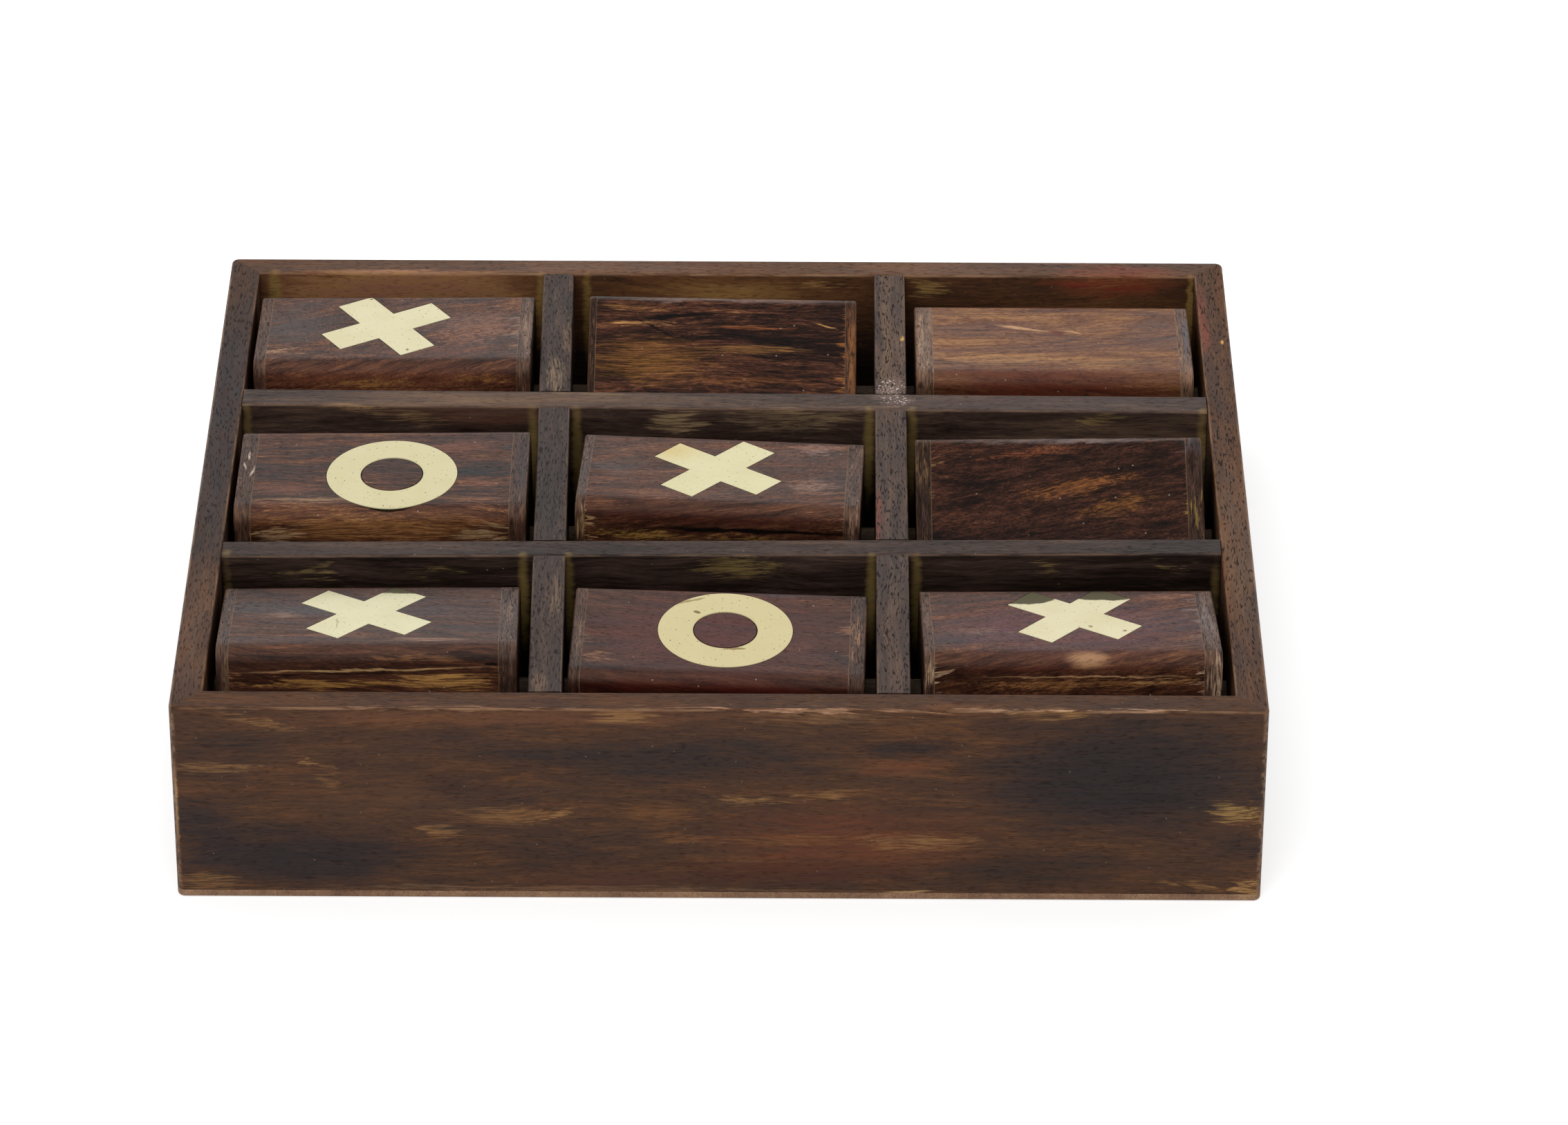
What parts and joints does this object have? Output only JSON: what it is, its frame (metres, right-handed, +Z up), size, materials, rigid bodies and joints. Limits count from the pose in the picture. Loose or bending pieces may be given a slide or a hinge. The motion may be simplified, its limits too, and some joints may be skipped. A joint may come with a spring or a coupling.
{
  "type": "tic-tac-toe board",
  "caption": "Open wooden tray parted into cells; in each cell a square tumbler with a brass cross and a brass ring turns on a dowel.",
  "frame": {"origin": "centre of the underside, on the surface the tray stands on", "axes": "+X to the player's right along the longer side, +Y away from the player, +Z up"},
  "size_m": [0.305, 0.2542, 0.0695],
  "materials": {
    "tray_wood": "dark stained, satin",
    "divider_wood": "dark stained, satin",
    "base_wood": "dark stained, satin",
    "dowel_wood": "turned, unpolished",
    "tumbler_wood": "dark stained, waxed",
    "end_cap_wood": "dark stained, grain across",
    "brass": "polished sheet, flush"
  },
  "bodies": {
    "tray": {"front_wall": "tray_wood", "back_wall": "tray_wood", "left_wall": "tray_wood", "right_wall": "tray_wood", "base_board": "base_wood", "cross_divider_back": "divider_wood", "cross_divider_front": "divider_wood", "long_divider_left": "divider_wood", "long_divider_right": "divider_wood", "back_dowel": "dowel_wood", "middle_dowel": "dowel_wood", "front_dowel": "dowel_wood"},
    "back_left_tumbler": {"back_left_face_boards": "tumbler_wood", "back_left_side_boards": "tumbler_wood", "back_left_end_caps": "end_cap_wood", "back_left_cross": "brass", "back_left_ring": "brass"},
    "back_centre_tumbler": {"back_centre_face_boards": "tumbler_wood", "back_centre_side_boards": "tumbler_wood", "back_centre_end_caps": "end_cap_wood", "back_centre_cross": "brass", "back_centre_ring": "brass"},
    "back_right_tumbler": {"back_right_face_boards": "tumbler_wood", "back_right_side_boards": "tumbler_wood", "back_right_end_caps": "end_cap_wood", "back_right_cross": "brass", "back_right_ring": "brass"},
    "middle_left_tumbler": {"middle_left_face_boards": "tumbler_wood", "middle_left_side_boards": "tumbler_wood", "middle_left_end_caps": "end_cap_wood", "middle_left_cross": "brass", "middle_left_ring": "brass"},
    "middle_centre_tumbler": {"middle_centre_face_boards": "tumbler_wood", "middle_centre_side_boards": "tumbler_wood", "middle_centre_end_caps": "end_cap_wood", "middle_centre_cross": "brass", "middle_centre_ring": "brass"},
    "middle_right_tumbler": {"middle_right_face_boards": "tumbler_wood", "middle_right_side_boards": "tumbler_wood", "middle_right_end_caps": "end_cap_wood", "middle_right_cross": "brass", "middle_right_ring": "brass"},
    "front_left_tumbler": {"front_left_face_boards": "tumbler_wood", "front_left_side_boards": "tumbler_wood", "front_left_end_caps": "end_cap_wood", "front_left_cross": "brass", "front_left_ring": "brass"},
    "front_centre_tumbler": {"front_centre_face_boards": "tumbler_wood", "front_centre_side_boards": "tumbler_wood", "front_centre_end_caps": "end_cap_wood", "front_centre_cross": "brass", "front_centre_ring": "brass"},
    "front_right_tumbler": {"front_right_face_boards": "tumbler_wood", "front_right_side_boards": "tumbler_wood", "front_right_end_caps": "end_cap_wood", "front_right_cross": "brass", "front_right_ring": "brass"}
  },
  "joints": [
    {"name": "back_left_turn", "type": "hinge", "parent": "tray", "child": "back_left_tumbler", "pos_m": [-0.0999, 0.08212, 0.04002], "axis": [1, 0, 0], "continuous": true},
    {"name": "back_centre_turn", "type": "hinge", "parent": "tray", "child": "back_centre_tumbler", "pos_m": [-0.00135, 0.08212, 0.04002], "axis": [1, 0, 0], "continuous": true},
    {"name": "back_right_turn", "type": "hinge", "parent": "tray", "child": "back_right_tumbler", "pos_m": [0.099, 0.08212, 0.04002], "axis": [1, 0, 0], "continuous": true},
    {"name": "middle_left_turn", "type": "hinge", "parent": "tray", "child": "middle_left_tumbler", "pos_m": [-0.09915, -0.00046, 0.04002], "axis": [1, 0, 0], "continuous": true},
    {"name": "middle_centre_turn", "type": "hinge", "parent": "tray", "child": "middle_centre_tumbler", "pos_m": [-0.00095, -0.00046, 0.04002], "axis": [1, 0, 0], "continuous": true},
    {"name": "middle_right_turn", "type": "hinge", "parent": "tray", "child": "middle_right_tumbler", "pos_m": [0.0985, -0.00046, 0.04002], "axis": [1, 0, 0], "continuous": true},
    {"name": "front_left_turn", "type": "hinge", "parent": "tray", "child": "front_left_tumbler", "pos_m": [-0.09915, -0.08258, 0.04002], "axis": [1, 0, 0], "continuous": true},
    {"name": "front_centre_turn", "type": "hinge", "parent": "tray", "child": "front_centre_tumbler", "pos_m": [-0.00065, -0.08258, 0.04002], "axis": [1, 0, 0], "continuous": true},
    {"name": "front_right_turn", "type": "hinge", "parent": "tray", "child": "front_right_tumbler", "pos_m": [0.0986, -0.08258, 0.04002], "axis": [1, 0, 0], "continuous": true}
  ]
}
